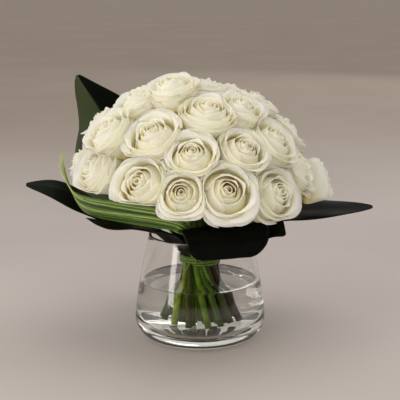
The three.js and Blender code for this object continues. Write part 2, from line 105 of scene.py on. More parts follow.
def ramp(tree, factor, stops):
    """A colour ramp over a factor, with its stops given as position and sRGB hex."""
    made = node(tree, "ValToRGB", links={"Fac": factor})
    elements = made.color_ramp.elements
    while len(elements) < len(stops):
        elements.new(0.5)
    for element, (position, colour) in zip(elements, stops):
        element.position = position
        element.color = linear(colour)
    return made.outputs["Color"]


def finish_of(name):
    """A new material with an empty graph and its output."""
    material = bpy.data.materials.new(name)
    material.use_nodes = True
    material.node_tree.nodes.clear()
    return material, material.node_tree, node(material.node_tree, "OutputMaterial")


def times_plus(tree, value, factor, plus):
    """value x factor + plus, where plus is a number or another node's socket."""
    values, links = {"operation": "MULTIPLY_ADD", 1: factor}, {0: value}
    (links if isinstance(plus, bpy.types.NodeSocket) else values)[2] = plus
    return node(tree, "Math", values, links).outputs[0]


def noise(tree, vector, scale, detail):
    """Cloudy noise over a vector, from 0 to 1, with so many clouds to a unit."""
    return node(tree, "TexNoise", {"Scale": scale, "Detail": detail}, {"Vector": vector}).outputs["Fac"]


def streaks(tree, place, across, along, detail):
    """Noise drawn out along a piece's UV: so many streaks across it, and so many changes along it."""
    stretch = node(tree, "Mapping", {"Scale": (across, along, 1.0)}, {"Vector": place.outputs["UV"]})
    return noise(tree, stretch.outputs["Vector"], 1.0, detail)


def mark(tree, name):
    """The number that each point of a piece carries under a name."""
    return node(tree, "Attribute", {"attribute_name": name}).outputs["Fac"]


def skin(tree, colour, height, strength, distance, values):
    """A coloured shader that a height from 0 to 1 raises by up to a distance, in metres, by a strength."""
    relief = node(tree, "Bump", {"Strength": strength, "Distance": distance}, {"Height": height})
    return node(tree, "BsdfPrincipled", values, {"Base Color": colour, "Normal": relief.outputs["Normal"]})


def show(tree, shader, out):
    """Joins a shader to the material's output."""
    tree.links.new(shader.outputs[0], out.inputs["Surface"])


def let_lamps_through(tree, shader, out, colour="#F7F6F2"):
    """Joins a shader to the output, but rays that only look for a lamp pass it, tinted with the colour: clear
    glass casts almost no shadow, and a thin petal a pale one."""
    shadow = node(tree, "LightPath").outputs["Is Shadow Ray"]
    clear = node(tree, "BsdfTransparent", {"Color": linear(colour)})
    show(tree, node(tree, "MixShader", links={0: shadow, 1: shader.outputs[0], 2: clear.outputs[0]}), out)


def clear_finish(name, colour, bend):
    """A material that is clear and wholly smooth, so that what it mirrors is sharp, and bends light by so
    much."""
    material, tree, out = finish_of(name)
    shader = node(tree, "BsdfPrincipled", {"Base Color": linear(colour), "Roughness": 0.0, "IOR": bend,
                                           "Transmission Weight": 1.0})
    let_lamps_through(tree, shader, out)
    return material


# %% [markdown]
# Petals are thin and pale, so hard light burns them out. A big soft light in front on the left, a little
# above the dome, shapes each bloom, as in the photograph. A weaker one straight in front lifts the shade.
# Clear glass is seen by what it mirrors and bends. Those two lights would lie over the stems as a grey veil,
# so they are hidden from it, and it mirrors others: a narrow upright strip, which draws the streak on the
# vase, a light overhead, and a low one far behind, which whitens the water.

# %% Light
SOFT_LIGHTS = [
    # name, place, width and height in millimetres, and power in watts
    ("key", (-1350, -1350, 750), 1900, 1500, 15.5),
    ("front", (300, -1700, 450), 1500, 1000, 10.5),
    ("strip", (-1213, -882, 330), 300, 800, 3.5),
    ("top", (200, 200, 1900), 1500, 1500, 6),
    ("back", (880, 3000, 720), 1700, 300, 4.4),
]
MIRRORED_LIGHTS = ("strip", "top", "back")
KEY_COLOUR, LAMP_COLOUR = "#FFFAF0", "#FFFCF6"
LIT_PLACE = (0, 0, 160)
WORLD_STRENGTH = 0.7
# The world is brightest high up behind the vase, along this direction.
BRIGHTEST_WAY = (0.0, 0.6, 0.8)

for name, place, width, height, power in SOFT_LIGHTS:
    lamp = placed(name, bpy.data.lights.new(name, "AREA"))
    lamp.data.shape = "RECTANGLE"
    lamp.data.size, lamp.data.size_y = width * MM, height * MM
    lamp.data.energy = power
    lamp.data.color = linear(KEY_COLOUR if name == "key" else LAMP_COLOUR)[:3]
    lamp.visible_glossy = lamp.visible_transmission = name in MIRRORED_LIGHTS
    aim(lamp, place, LIT_PLACE)
world = bpy.context.scene.world or bpy.data.worlds.new("world")
bpy.context.scene.world = world
world.use_nodes = True
# It is dim low down in front, so that the glass mirrors nothing pale from there.
sky = world.node_tree
way = node(sky, "TexCoord").outputs["Generated"]
rise = node(sky, "VectorMath", {"operation": "DOT_PRODUCT", 1: BRIGHTEST_WAY}, {0: way}).outputs["Value"]
sky_colour = ramp(sky, times_plus(sky, rise, 0.5, 0.5), [
    (0.25, "#1E1C1A"), (0.45, "#8C847B"), (0.6, "#CDC6BC"), (0.8, "#F2ECE4"), (1.0, "#FFFBF5")])
sky.links.new(sky_colour, sky.nodes["Background"].inputs["Color"])
sky.nodes["Background"].inputs["Strength"].default_value = WORLD_STRENGTH
bpy.context.scene.view_settings.view_transform = "Standard"
print("lights:", [name for name, *_ in SOFT_LIGHTS])

# %% [markdown]
# The ground is left plain: a pale, matt board, faintly uneven, that runs on past the view, so that the glass
# has something quiet to bend. It lies a hair below the foot: with that air between, the foot's underside
# mirrors the stems, as a real vase's does.

# %% Floor
FLOOR_SIZE = 60000
FLOOR_DROP = 0.3
# Where the board's painted shade starts and ends, from front to back, in metres.
SHADE_FROM, SHADE_TO = -0.9, 3.0

# Plaster-coloured and rubbed matt: it scatters light evenly, so that shadows on it fall soft.
plaster, tree, out = finish_of("pale_matt_board")
place = node(tree, "TexCoord").outputs["Object"]
colour = ramp(tree, noise(tree, place, 3.0, 3.0), [(0.3, "#C3BAB8"), (0.7, "#CAC2C0")])
# Painted shade: close to the camera the board is painted darker, so that the glass mirrors no bright floor,
# and far behind it is painted a little darker again, as light falling off, so that the pale bunch stands out.
ahead = node(tree, "SeparateXYZ", links={0: place}).outputs["Y"]
reach = node(tree, "MapRange", {1: SHADE_FROM, 2: SHADE_TO}, {0: ahead}).outputs[0]
painted_board_shade = ramp(tree, reach, [(0.0, "#8E8882"), (0.15, "#FFFFFF"), (0.4, "#FFFFFF"), (0.7, "#DDD4C8")])
shaded = node(tree, "MixRGB", {"blend_type": "MULTIPLY", 0: 1.0}, {"Color1": colour, "Color2": painted_board_shade})
board = node(tree, "BsdfPrincipled", {"Roughness": 0.6, "Specular IOR Level": 0.15},
             {"Base Color": shaded.outputs[0]})
show(tree, board, out)
half = FLOOR_SIZE * MM / 2
corners = [(x, y, -FLOOR_DROP * MM) for x, y in ((-half, -half), (half, -half), (half, half), (-half, half))]
mesh = bpy.data.meshes.new("floor")
mesh.from_pydata(corners, [], [(0, 1, 2, 3)])
mesh.materials.append(plaster)
floor = placed("floor", mesh)
print("floor", FLOOR_SIZE / 1000, "m wide")

# %% [markdown]
# Every piece is made of grids of points, worked out with numpy. A thin thing, such as a petal, starts as one
# sheet and gets two faces and a rim, so that it is closed and light can pass through it.


# %% Mesh helpers
def around(azimuth, radius, height):
    """Points at azimuths from the front, distances from the axis and heights: (r sin a, -r cos a, z)."""
    a = np.radians(azimuth)
    return np.stack(np.broadcast_arrays(radius * np.sin(a), -radius * np.cos(a), height), -1).astype(float)


def unit(vectors):
    """Vectors divided by their lengths."""
    return vectors / np.maximum(np.linalg.norm(vectors, axis=-1, keepdims=True), 1e-9)


def smooth(value, low, high):
    """A soft step: 3t^2 - 2t^3 of the share t of the way from low to high."""
    t = np.clip((value - low) / (high - low), 0, 1)
    return t * t * (3 - 2 * t)


def grid_faces(rows, columns, wrap=False):
    """The squares of a grid of points, row by row. With wrap, the last column joins the first."""
    index = np.arange(rows * columns).reshape(rows, columns)
    if wrap:
        index = np.hstack([index, index[:, :1]])
    corners = [index[:-1, :-1], index[:-1, 1:], index[1:, 1:], index[1:, :-1]]
    return np.stack(corners, -1).reshape(-1, 4)


def shells(sheets, thickness):
    """Closes sheets, an array of grids. Points go half a thickness along the normal, across x along, to each
    side, and a rim joins the two faces. Returns the points, front then back for each sheet, and the faces."""
    count, rows, columns = sheets.shape[:3]
    normal = unit(np.cross(np.gradient(sheets, axis=2), np.gradient(sheets, axis=1)))
    half = normal * np.asarray(thickness, float)[..., None] / 2
    points = np.stack([sheets + half, sheets - half], 1).reshape(-1, 3)
    size = rows * columns
    index = np.arange(size).reshape(rows, columns)
    edge = np.concatenate([index[0], index[1:, -1], index[-1, -2::-1], index[-2:0:-1, 0]])
    after = np.roll(edge, -1)
    face = grid_faces(rows, columns)
    rim = np.stack([after, edge, edge + size, after + size], -1)
    whole = np.vstack([face, face[:, ::-1] + size, rim])
    return points, (whole + 2 * size * np.arange(count)[:, None, None]).reshape(-1, 4)


def make_piece(name, points, faces, material, nodes, uv=None, marks=None):
    """Points in millimetres and faces become one smooth object at the origin, in metres, which rides on the
    root and stands for its nodes. uv and marks are numbers of the points, for the material to read."""
    mesh = bpy.data.meshes.new(name)
    mesh.from_pydata(points * MM, [], faces if isinstance(faces, list) else faces.tolist())
    mesh.polygons.foreach_set("use_smooth", np.ones(len(mesh.polygons), bool))
    corners = np.zeros(len(mesh.loops), np.int32)
    mesh.loops.foreach_get("vertex_index", corners)
    if uv is not None:
        layer = mesh.uv_layers.new(name="UVMap")
        layer.data.foreach_set("uv", uv[corners].astype(np.float32).ravel())
    for label, values in (marks or {}).items():
        mesh.attributes.new(label, "FLOAT", "POINT").data.foreach_set("value", values.astype(np.float32))
    mesh.materials.append(material)
    mesh.update()
    piece = placed(name, mesh)
    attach(piece, "root")
    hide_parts(*nodes)


def lathe(profile, sides):
    """Turns a profile of radius and height, from axis to axis, into points and faces closed at both poles."""
    radius, height = np.array(profile[1:-1], float).T
    angle = np.linspace(0, 360, sides, endpoint=False)
    ring = around(angle, radius[:, None], height[:, None]).reshape(-1, 3)
    points = np.vstack([ring, [[0, 0, profile[0][1]], [0, 0, profile[-1][1]]]])
    first, last = np.arange(sides), np.arange(sides) + len(ring) - sides
    faces = grid_faces(len(radius), sides, wrap=True).tolist()
    faces += np.stack([np.full(sides, len(ring)), np.roll(first, -1), first], -1).tolist()
    faces += np.stack([np.full(sides, len(ring) + 1), last, np.roll(last, -1)], -1).tolist()
    return points, faces


print("mesh helpers ready")

# %% [markdown]
# The vase was blown or pressed in clear soda glass: thin walls that lean in to a fire-polished rim, and a
# thick solid foot that gathers light. One profile is turned round the axis; the heel and the inner floor are
# quarter ellipses and the rim is a half circle, so no edge is sharp.

# %% Vase
VASE_HEIGHT = 128
FOOT_RADIUS = 55
BELLY_RADIUS = 79
BELLY_HEIGHT = 26
RIM_RADIUS = 61.5
SIDE_CURVE = 1.35
WALL = 3.6
FLOOR_THICKNESS = 15
INNER_FLOOR_RADIUS = 50
INNER_HEEL_HEIGHT = 34
VASE_SIDES = 128
HEEL_ROWS, SIDE_ROWS, RIM_ROWS, INSIDE_ROWS = 16, 22, 9, 14
# Rings on the flat faces of foot, floor and water, which keep the faces there near square.
FLAT_RINGS = (18, 36)

# Soda glass bends light by 1.52. Pressed this clear and polished, it has next to no colour.
soda_glass = clear_finish("clear_pressed_soda_glass", "#FEFEFD", 1.52)


def side_radius(height):
    """The outer radius above the belly: it falls from belly to rim with the height's share to a power."""
    share = (height - BELLY_HEIGHT) / (VASE_HEIGHT - BELLY_HEIGHT)
    return BELLY_RADIUS - (BELLY_RADIUS - RIM_RADIUS) * share ** SIDE_CURVE


def inside_profile(top):
    """The inner wall from the floor's edge up to a height: a quarter ellipse, then the outer side less the
    wall's thickness."""
    heel_top = FLOOR_THICKNESS + INNER_HEEL_HEIGHT
    heel_radius = side_radius(heel_top) - WALL
    turn = np.linspace(0, np.pi / 2, INSIDE_ROWS)
    radius = INNER_FLOOR_RADIUS + (heel_radius - INNER_FLOOR_RADIUS) * np.sin(turn)
    height = heel_top - INNER_HEEL_HEIGHT * np.cos(turn)
    up = np.linspace(heel_top, top, INSIDE_ROWS)[1:]
    return np.column_stack([np.append(radius, side_radius(up) - WALL), np.append(height, up)])


turn = np.linspace(0, np.pi / 2, HEEL_ROWS)
heel = np.column_stack([FOOT_RADIUS + (BELLY_RADIUS - FOOT_RADIUS) * np.sin(turn),
                        BELLY_HEIGHT * (1 - np.cos(turn))])
shoulder = VASE_HEIGHT - WALL / 2
up = np.linspace(BELLY_HEIGHT, shoulder, SIDE_ROWS)[1:]
side = np.column_stack([side_radius(up), up])
turn = np.linspace(0, np.pi, RIM_ROWS)[1:-1]
middle = side_radius(shoulder) - WALL / 2
rim = np.column_stack([middle + WALL / 2 * np.cos(turn), shoulder + WALL / 2 * np.sin(turn)])
underside = [(r, 0) for r in (0, *FLAT_RINGS, INNER_FLOOR_RADIUS)]
floor_inside = [(r, FLOOR_THICKNESS) for r in (0, *FLAT_RINGS)]
profile = [*underside, *heel, *side, *rim, *inside_profile(shoulder)[::-1], *floor_inside[::-1]]
points, faces = lathe(profile, VASE_SIDES)
make_piece("vase_glass", points, faces, soda_glass, ["vase"])
print("vase:", len(faces), "faces")

# %% [markdown]
# Light goes from glass straight into water, with no air between. A renderer only gets that right if the water
# reaches a hair into the glass, so the water's wall is 0.1 mm past the vase's inner wall. It climbs the glass
# in a small meniscus, and it has no holes for the stems, which simply stand in it.

# %% Water
WATER_LEVEL = 70
INTO_GLASS = 0.1
MENISCUS_HEIGHT, MENISCUS_REACH = 1.6, 2.5
# Rings of the water's surface, at these distances from the glass, close together where the meniscus bends.
SURFACE_RINGS = np.array([0.6, 1.5, 3, 5.5, 9, 16, 28, 44, 58])

# Water bends light by 1.33; flower food leaves it faintly warm.
clear_water = clear_finish("clear_still_water", "#FFFFFD", 1.333)
wall = inside_profile(WATER_LEVEL + MENISCUS_HEIGHT)
wall[:, 0] += INTO_GLASS
meniscus = MENISCUS_HEIGHT * np.exp(-SURFACE_RINGS / MENISCUS_REACH)
surface = np.column_stack([wall[-1, 0] - SURFACE_RINGS, WATER_LEVEL + meniscus])
below = FLOOR_THICKNESS - INTO_GLASS
wall[0, 1] = below
profile = [*((r, below) for r in (0, *FLAT_RINGS)), *wall, *surface, (0, WATER_LEVEL)]
points, faces = lathe(profile, VASE_SIDES)
make_piece("vase_water", points, faces, clear_water, ["water"])
print("water:", len(faces), "faces")

# %% [markdown]
# Each rose sits on a dome and faces out from a point below its middle. Neighbours press on each other, so a
# plane stands between each two of them, nearer the smaller one, and a slanted floor lies under the lowest
# ones where leaves and grass push up.

# %% Where the roses sit
DOME_CENTRE = np.array([-9, 0, 170])
DOME_RADIUS = 148
FACING_CENTRE = np.array([-5, 0, 140])
HEAD_LENGTH = 54
WIDEST_AT = 0.7
NEIGHBOUR_REACH = 119
PRESS_POWER = 12
ROUND_REACH = 38
GAP = 0.3
# A wall that a direction points away from doesn't press, and none presses closer than a millimetre.
SQUARE_ON, LEAST_LIMIT, TINY = 1e-3, 1, 1e-6
COLLAR_RADIUS = 120
COLLAR_SLOPE = np.radians(15)

# Azimuth from the front and elevation in degrees, size against a 68 mm head, how far the rose stands out of
# the dome, the height of the greenery under it, or None, its turn about its stem, and how open it is, from -1
# to 1.
ROSES = [
    (-27, 19, 1.08, 0, 186, 20, 0.1),
    (-5, 15, 0.84, 0, 172, 100, 0.3),
    (17, 16, 1.04, 2, 157, 45, 0.6),
    (46, 12, 1.0, 2, 163, 150, 0.4),
    (92, 8, 0.82, 20, 164, 80, -1.0),
    (76, 21, 0.96, 2, None, 10, 0.0),
    (-62, 21, 1.02, 4, 188, 60, -0.25),
    (-92, 20, 0.96, 6, 190, 130, 0.0),
    (0, 34, 0.92, 0, None, 75, 0.1),
    (32, 35.5, 0.9, 0, None, 30, 0.5),
    (58, 37, 1.0, 5, None, 110, 0.2),
    (-27, 44, 1.06, 2, None, 140, 0.1),
    (-60, 39, 1.04, 13, None, 0, 0.3),
    (14, 59, 0.96, 2, None, 50, -0.3),
    (50, 58, 0.9, 4, None, 95, 0.2),
    (96, 58, 0.94, 5, None, 15, 0.2),
    (-67, 61, 0.98, 8, None, 85, 0.1),
    (-33, 72, 0.96, 14, None, 25, 0.2),
    (105, 83, 1.0, 0, None, 120, 0.1),
    (120, 15, 1.0, 2, 172, 35, 0.2),
    (149, 17, 1.02, 0, 170, 90, 0.4),
    (178, 14, 1.0, 0, 172, 5, 0.0),
    (-153, 17, 1.02, 0, 170, 115, 0.3),
    (-122, 17, 0.98, 2, 172, 70, 0.1),
    (100, 38, 1.0, 5, None, 55, 0.3),
    (135, 41, 1.0, 2, None, 125, 0.1),
    (171, 39, 1.0, 0, None, 40, 0.4),
    (-156, 41, 0.98, 2, None, 80, -0.2),
    (-121, 40, 1.0, 4, None, 12, 0.2),
    (-91, 42, 0.96, 8, None, 65, 0.1),
    (133, 64, 0.96, 3, None, 105, 0.3),
    (-176, 63, 0.98, 3, None, 28, 0.0),
    (-122, 65, 0.96, 4, None, 88, 0.2),
]


def turned_to(axis, turn):
    """The matrix that takes +Z to an axis by the shortest turn, after a turn about +Z: I + K + K^2 / (1 + c)
    times that turn."""
    x, y, c = axis
    k = np.array([[0, 0, x], [0, 0, y], [-x, -y, 0]])
    s, t = np.sin(np.radians(turn)), np.cos(np.radians(turn))
    return (np.eye(3) + k + k @ k / (1 + c)) @ np.array([[t, -s, 0], [s, t, 0], [0, 0, 1]])


def place_rose(azimuth, elevation, size, reach, floor, turn, openness):
    """Where a rose is. Its tip lies on the dome, its axis points away from the facing centre, and its base is
    a head's length in."""
    tilt = np.radians(elevation)
    tip = DOME_CENTRE + around(azimuth, np.cos(tilt), np.sin(tilt)) * (DOME_RADIUS + reach)
    axis = unit(tip - FACING_CENTRE)
    length = HEAD_LENGTH * size
    return {"azimuth": azimuth, "elevation": elevation, "size": size, "floor": floor, "open": openness,
            "axis": axis, "base": tip - axis * length, "middle": tip - axis * length * (1 - WIDEST_AT),
            "turned": turned_to(axis, turn)}


def walls_of(rose):
    """The planes round a rose, each as a normal and a distance in the rose's own frame."""
    walls = []
    for other in roses:
        across = other["middle"] - rose["middle"]
        distance = np.linalg.norm(across)
        if 0 < distance <= NEIGHBOUR_REACH:
            share = rose["size"] / (rose["size"] + other["size"])
            walls.append((across / distance, rose["middle"] + across * share))
    if rose["floor"] is not None:
        normal = around(rose["azimuth"], np.sin(COLLAR_SLOPE), -np.cos(COLLAR_SLOPE))
        walls.append((normal, around(rose["azimuth"], COLLAR_RADIUS, rose["floor"])))
    return [(normal @ rose["turned"], normal @ (point - rose["base"])) for normal, point in walls]


def pressed(points, walls, slack, roundest):
    """Draws points in towards the rose's axis: the radius r becomes r / (1 + sum of (r / limit)^p)^(1/p). The
    first limit is the roundest radius, the same all round, and keeps a crowded rose from getting corners. The
    others are how far each wall is in that direction, at that height. Slack lets a petal reach further."""
    reach = np.maximum(np.hypot(points[..., 0], points[..., 1]), TINY)
    ex, ey = points[..., 0] / reach, points[..., 1] / reach
    crowding = 1 + (reach / (roundest * (1 + slack))) ** PRESS_POWER
    for normal, distance in walls:
        toward = normal[0] * ex + normal[1] * ey
        limit = (distance - normal[2] * points[..., 2]) / np.maximum(toward, SQUARE_ON) - GAP / 2
        share = (reach / np.maximum(limit * (1 + slack), LEAST_LIMIT)) ** PRESS_POWER
        crowding += np.where(toward > SQUARE_ON, share, 0)
    held = reach / crowding ** (1 / PRESS_POWER)
    return np.stack([ex * held, ey * held, points[..., 2]], -1)


roses = [place_rose(*row) for row in ROSES]
print("roses:", len(roses))

# %% [markdown]
# A rose petal is ivory where it shows and pale yellow-green at its foot. Deep in the bloom that colour is
# painted on to gold, as painted bounce light for the light that comes back from petal to petal. It is thin
# enough to glow and to let part of a lamp's light through, which keeps the creases between the blooms pale.
# Its skin is dull and velvety, and fine veins run up it from the base. Two marks on each point drive the
# colour: how far up the petal it is, and a tone that differs petal by petal.

# %% Petal
petal_skin, tree, out = finish_of("fresh_white_rose_petal")
place = node(tree, "TexCoord")
uneven = times_plus(tree, noise(tree, place.outputs["Object"], 90.0, 3.0), 0.16, -0.08)
height = times_plus(tree, uneven, 1.0, mark(tree, "depth"))
# From gold at the petal's foot, through a cool ivory, to a lip with a breath of pink. The gold low down is
# partly the foot's own colour and partly painted bounce light, which warms the creases deep in the bloom.
colour = ramp(tree, height, [(0.05, "#E2B860"), (0.28, "#EFDC9C"), (0.52, "#F5EFCC"), (0.74, "#F8F9E9"),
                             (0.9, "#F9FAF2"), (1.0, "#FBF7F1")])
warm = node(tree, "MixRGB", {"blend_type": "MULTIPLY", "Color2": linear("#F2E0A4")},
            {"Fac": mark(tree, "tone"), "Color1": colour})
# Veins are about 0.5 mm apart on a real petal: 70 to a petal's width shows them without a moire.
veins = streaks(tree, place, 70.0, 2.5, 2.0)
petal = skin(tree, warm.outputs["Color"], veins, 0.25, 0.0004, {
    "Roughness": 0.55, "IOR": 1.4, "Subsurface Weight": 0.8, "Subsurface Radius": (1.0, 0.9, 0.65),
    "Subsurface Scale": 0.0025, "Sheen Weight": 0.15, "Specular IOR Level": 0.35})
let_lamps_through(tree, petal, out, "#EBE6D2")
print("petal finish:", petal_skin.name)

# %% [markdown]
# A rose opens whorl by whorl. The guard petals lie back and roll their lips over, the next ones stand up
# round them, and the heart is still wound in a spiral. Each petal is a sheet: up the petal its slope follows
# a curve of angles that is added up to give radius and height, and across the petal it wraps round the rose's
# axis, one edge lapping outside the next petal's.

# %% The petals of a rose
# Petals, half their width in degrees, belly radius, rim height, steepest slope and lip slope in degrees,
# where the lip starts to roll, the turn of the whorl, and how much nearer the axis one edge is than the
# other. The last row is the single petal, wound round itself, that fills the heart.
WHORLS = [
    (5, 56, 42.0, 33.0, 66, -20, 0.66, 22, 0.05),
    (5, 55, 34.5, 39.8, 87, 2, 0.76, 0, 0.05),
    (4, 66, 31.0, 44.2, 98, 40, 0.83, 30, 0.05),
    (4, 66, 26.8, 47.2, 104, 64, 0.87, 75, 0.06),
    (3, 84, 21.8, 49.2, 107, 78, 0.89, 20, 0.07),
    (3, 92, 15.8, 50.4, 109, 90, 0.91, 70, 0.09),
    (2, 150, 8.8, 50.6, 113, 122, 0.84, 10, 0.12),
    (1, 200, 4.4, 50.0, 112, 122, 0.84, 200, 0.4),
]
PETAL_ROWS, PETAL_COLUMNS = 16, 14
PETAL_THICKNESS = 0.45
HIP_RADIUS = 3.2
PROFILE_STEPS = 121
FOOT_SLOPE = 12
STEEP_BY = 0.5
# The outline, in shares of the petal: how far its edges stay below its top, the small peak in the middle, how
# square the top is, and its width at the foot.
OUTLINE_DROP = 0.15
PEAK_RISE, PEAK_HALF = 0.03, 0.3
OUTLINE_POWER, POWER_STRAY = 3.2, 0.9
FOOT_SHARE = 0.42
# An open rose's heart spreads and sinks. A shut one's outer petals stand upright, with their lips drawn in.
OPEN_SPREAD, OPEN_SINK = 0.22, 0.07
SHUT_LIP, SHUT_RIM, SHUT_RISE = 112, 51, 0.75
# How far petals of one whorl differ: their turn in degrees, then shares of their width, flare and height.
TURN_STRAY, WIDTH_STRAY, FLARE_STRAY, HEIGHT_STRAY = 5, 0.05, 0.035, 0.018
# Near the rim the edge waves out and up, and its corners roll out and down, in millimetres on a large petal.
WAVE_OUT, WAVE_UP = 0.7, 0.6
CORNER_OUT, CORNER_DOWN = 1.2, 1.4
LARGE_BELLY = 34
SLACK = 0.09
TONE, TONE_RANGE, HEART_TONE = 0.08, 0.08, 0.4


def petal_profile(belly, rim_height, steepest, lip, roll_from):
    """Radius and height up a petal. Its slope climbs from foot to steepest, past upright where the petal
    closes over the heart, then falls to the lip. The sums of its cosine and sine are stretched to belly and
    rim."""
    s = np.linspace(0, 1, PROFILE_STEPS)
    slope = FOOT_SLOPE + (steepest - FOOT_SLOPE) * smooth(s, 0, STEEP_BY)
    slope = np.radians(slope + (lip - steepest) * smooth(s, roll_from, 1))
    out_sum, up_sum = np.cumsum(np.cos(slope)), np.cumsum(np.sin(slope))
    widest = max(out_sum[s <= roll_from].max(), out_sum.max() * 0.8)
    return s, HIP_RADIUS + (belly - HIP_RADIUS) * out_sum / widest, rim_height * up_sum / up_sum.max()


def whorl_sheets(whorl, rose, random):
    """The petals of one whorl as sheets: (r cos a, r sin a, z), with a the place across the petal and r and z
    from its profile. Also gives each point's depth mark, its place across, its tone and the petal's slack."""
    count, half_width, belly, rim_height, steepest, lip, roll_from, turn, lap = whorl
    inner = max(0, 1 - belly / WHORLS[1][2])
    belly = belly * (1 + OPEN_SPREAD * rose["open"] * inner)
    rim_height = rim_height * (1 - OPEN_SINK * rose["open"] * inner)
    shut = max(0, -rose["open"]) * (1 - inner)
    steepest, lip = steepest + (90 - steepest) * shut, lip + (SHUT_LIP - lip) * shut
    rim_height = rim_height + (SHUT_RIM - rim_height) * SHUT_RISE * shut
    s, radius, height = petal_profile(belly, rim_height, steepest, lip, roll_from)
    # Nine chances for each petal, each between -1 and 1. The last is spare.
    turned, widened, phase, flared, raised, toned, squared, loosened, _ = (
        random.uniform(-1, 1, (count, 9)).T[..., None, None])
    u = np.linspace(-1, 1, PETAL_COLUMNS)
    v = np.linspace(0, 1, PETAL_ROWS)[:, None] ** 0.8
    peak = 1 - PEAK_RISE * smooth(np.abs(u), 0, PEAK_HALF)
    drop = OUTLINE_DROP * (1 - 0.6 * inner)
    up = v * (peak - drop * np.abs(u) ** (OUTLINE_POWER + POWER_STRAY * squared))
    wide = FOOT_SHARE + (1 - FOOT_SHARE) * smooth(up, 0, 0.55)
    centre = 360 * np.arange(count)[:, None, None] / count + turn + TURN_STRAY * turned
    angle = np.radians(centre + u * half_width * wide * (1 + WIDTH_STRAY * widened))
    top = smooth(up, 0.45, 1)
    wave = np.sin(np.pi * (1.3 * u + phase)) * up ** 5
    spiral = 1 + lap * (1 - 0.6 * shut) * u * smooth(up, 0.1, 0.7)
    r = np.interp(up, s, radius) * spiral * (1 + FLARE_STRAY * flared * top)
    r = r + (CORNER_OUT * np.abs(u) ** 4 + WAVE_OUT * wave) * top * (0.2 + belly / LARGE_BELLY)
    z = np.interp(up, s, height) * (1 + HEIGHT_STRAY * raised)
    z = z + (WAVE_UP * wave - CORNER_DOWN * np.abs(u) ** 3) * top
    sheet = np.stack([r * np.cos(angle), r * np.sin(angle), z], -1)
    slack = SLACK * (0.6 + loosened) * (1 - inner) ** 2 * smooth(up, 0.5, 0.9)
    depth = up ** (1 + 2.4 * inner)
    tone = TONE + TONE_RANGE * toned + HEART_TONE * inner
    return sheet, *np.broadcast_arrays(depth, u, tone, slack, r)[:4]


def bloom(rose, seed):
    """All the petals of a rose as closed shells, pressed by its neighbours and set in the frame."""
    random = np.random.default_rng(seed)
    parts = [whorl_sheets(whorl, rose, random) for whorl in WHORLS]
    sheet, depth, across, tone, slack = (np.concatenate(x) for x in zip(*parts))
    sheet = pressed(sheet * rose["size"], walls_of(rose), slack, ROUND_REACH * rose["size"])
    points, faces = shells(sheet, PETAL_THICKNESS * (1.15 - 0.5 * depth))
    # Both faces of a petal have the same marks.
    depth, across, tone = (np.stack([x, x], 1).reshape(-1) for x in (depth, across, tone))
    uv = np.column_stack([across * 0.5 + 0.5, depth])
    return points @ rose["turned"].T + rose["base"], faces, uv, {"depth": depth, "tone": tone}


for number, rose in enumerate(roses, 1):
    points, faces, uv, marks = bloom(rose, number)
    make_piece(f"bloom_{number:02d}", points, faces, petal_skin, [f"rose_{number:02d}"], uv, marks)
print("one bloom has", 2 * len(faces), "triangles")

# %% [markdown]
# A line through a few places is made smooth by a centripetal Catmull-Rom curve, which passes through each of
# them without loops. Stems, leaves, grass and the tie all follow one.


# %% Curves and tubes
def smooth_line(places, t):
    """Points at shares t of a centripetal Catmull-Rom curve: each knot's step is the root of its chord."""
    p = np.asarray(places, float)
    p = np.vstack([2 * p[0] - p[1], p, 2 * p[-1] - p[-2]])
    at = np.clip(t, 0, 1) * (len(p) - 3)
    i = np.minimum(at.astype(int), len(p) - 4)
    w = (at - i)[:, None]
    a, b, c, d = (p[i + k] for k in range(4))
    ab, bc, cd = (np.linalg.norm(y - x, axis=1, keepdims=True) ** 0.5 for x, y in ((a, b), (b, c), (c, d)))
    m1 = ((b - a) / ab - (c - a) / (ab + bc) + (c - b) / bc) * bc
    m2 = ((c - b) / bc - (d - b) / (bc + cd) + (d - c) / cd) * bc
    return b + m1 * w + (3 * (c - b) - 2 * m1 - m2) * w ** 2 + (2 * (b - c) + m1 + m2) * w ** 3


def tube(line, radius, sides):
    """A closed tube: rings square to the line, with sides and up = ahead x side, and both ends capped."""
    ahead = unit(np.gradient(line, axis=0))
    side = unit(np.cross([0, 1, 0], ahead))
    over = np.cross(ahead, side)
    angle = np.linspace(0, 2 * np.pi, sides, endpoint=False)[:, None]
    ring = side[:, None] * np.cos(angle) + over[:, None] * np.sin(angle)
    points = (line[:, None] + ring * radius[:, None, None]).reshape(-1, 3)
    faces = grid_faces(len(line), sides, wrap=True).tolist()
    last = len(points) - sides
    return points, faces + [list(range(sides))[::-1], list(range(last, last + sides))]


def gathered(parts):
    """Several point and face lists as one."""
    points, faces, start = [], [], 0
    for part_points, part_faces in parts:
        points.append(part_points)
        faces += [[corner + start for corner in face] for face in part_faces]
        start += len(part_points)
    return np.vstack(points), faces


print("curve helpers ready")

# %% [markdown]
# Rose stems are smooth, fresh green and about 7 mm thick, stripped of thorns below the tie. Held in the hand
# they cross in a spiral, so they fan out in the water one way round and spread to the blooms above. Under
# each bloom the stem swells into the hip. One tube follows each stem, from its cut foot to its hip.

# %% Stems
WAIST_HEIGHT = 99
TIED_RADIUS = 17.6
LOWEST_ROSE = 8
STEM_RADIUS, STEM_TAPER = 3.5, 0.9
STEM_BEND_SPREAD, STEM_BEND_RISE = 1.9, 38
HIP_WIDTH, HIP_LENGTH = 5.2, 9
FOOT_SPREAD = 39
FOOT_TWIST = 42
STEM_FOOT_HEIGHT = 16.6
FOOT_STEP, FOOT_LEVELS = 1.6, 3
STEM_SIDES, SHAFT_ROWS, HIP_ROWS = 12, 26, 6
# A stem's tone runs from 0, brown, up to fresh green. Stems with their feet on the right, away from the key
# light, get painted shade: darker and browner from the first place, in millimetres, up to the second.
FRESHEST = 0.65
RIGHT_SIDE_SHADE = 0.45
RIGHT_SHADE_FROM, RIGHT_SHADE_TO = 8, 26
